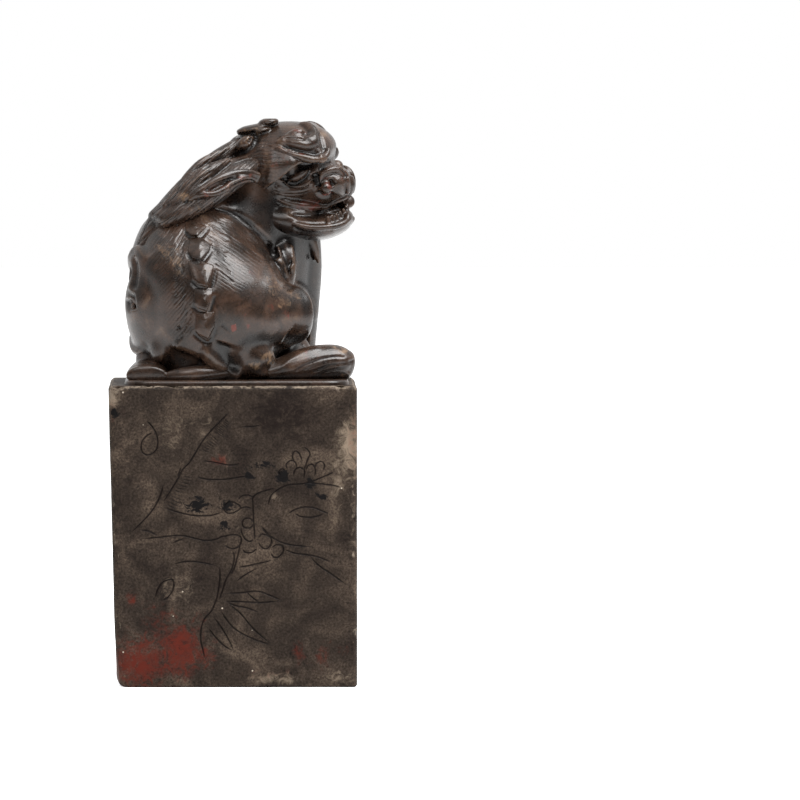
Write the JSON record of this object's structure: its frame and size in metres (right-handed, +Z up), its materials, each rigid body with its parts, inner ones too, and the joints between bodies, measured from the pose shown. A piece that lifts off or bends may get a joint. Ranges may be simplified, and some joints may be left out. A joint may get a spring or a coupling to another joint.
{
  "type": "seal stamp",
  "caption": "Tall square carved stone seal stamp with engraved sides, a flat seal face and a crouching guardian beast with its head turned as the handle.",
  "frame": {"origin": "middle of the seal face, at the bottom of the block", "axes": "+Z up through the beast, +X to the side that the beast's head faces, +Y away from the viewer"},
  "size_m": [0.0601, 0.06, 0.1364],
  "materials": {
    "block_stone": "satin, engraved and worn at the edges",
    "beast_stone": "polished by handling"
  },
  "bodies": {
    "root": {"brow_left": "beast_stone", "brow_right": "beast_stone", "calf_right": "beast_stone", "chest": "beast_stone", "crown_curl": "beast_stone", "ear_left": "beast_stone", "ear_right": "beast_stone", "elbow_tuft_right": "beast_stone", "eye_left": "beast_stone", "eye_right": "beast_stone", "fore_paw_left": "beast_stone", "fore_paw_right": "beast_stone", "foreleg_frill_left": "beast_stone", "foreleg_left": "beast_stone", "foreleg_right": "beast_stone", "haunch_left": "beast_stone", "haunch_right": "beast_stone", "hind_foot_right": "beast_stone", "hind_paw_left": "beast_stone", "horn": "beast_stone", "lower_jaw": "beast_stone", "mane_nape": "beast_stone", "mane_tress_shoulder": "beast_stone", "mane_tress_side": "beast_stone", "muzzle": "beast_stone", "neck": "beast_stone", "nose": "beast_stone", "plinth": "beast_stone", "seal_block": "block_stone", "shank_left": "beast_stone", "shoulder_tuft_right": "beast_stone", "skull": "beast_stone", "spine_plates": "beast_stone", "tail": "beast_stone", "teeth": "beast_stone", "torso": "beast_stone"}
  },
  "joints": []
}
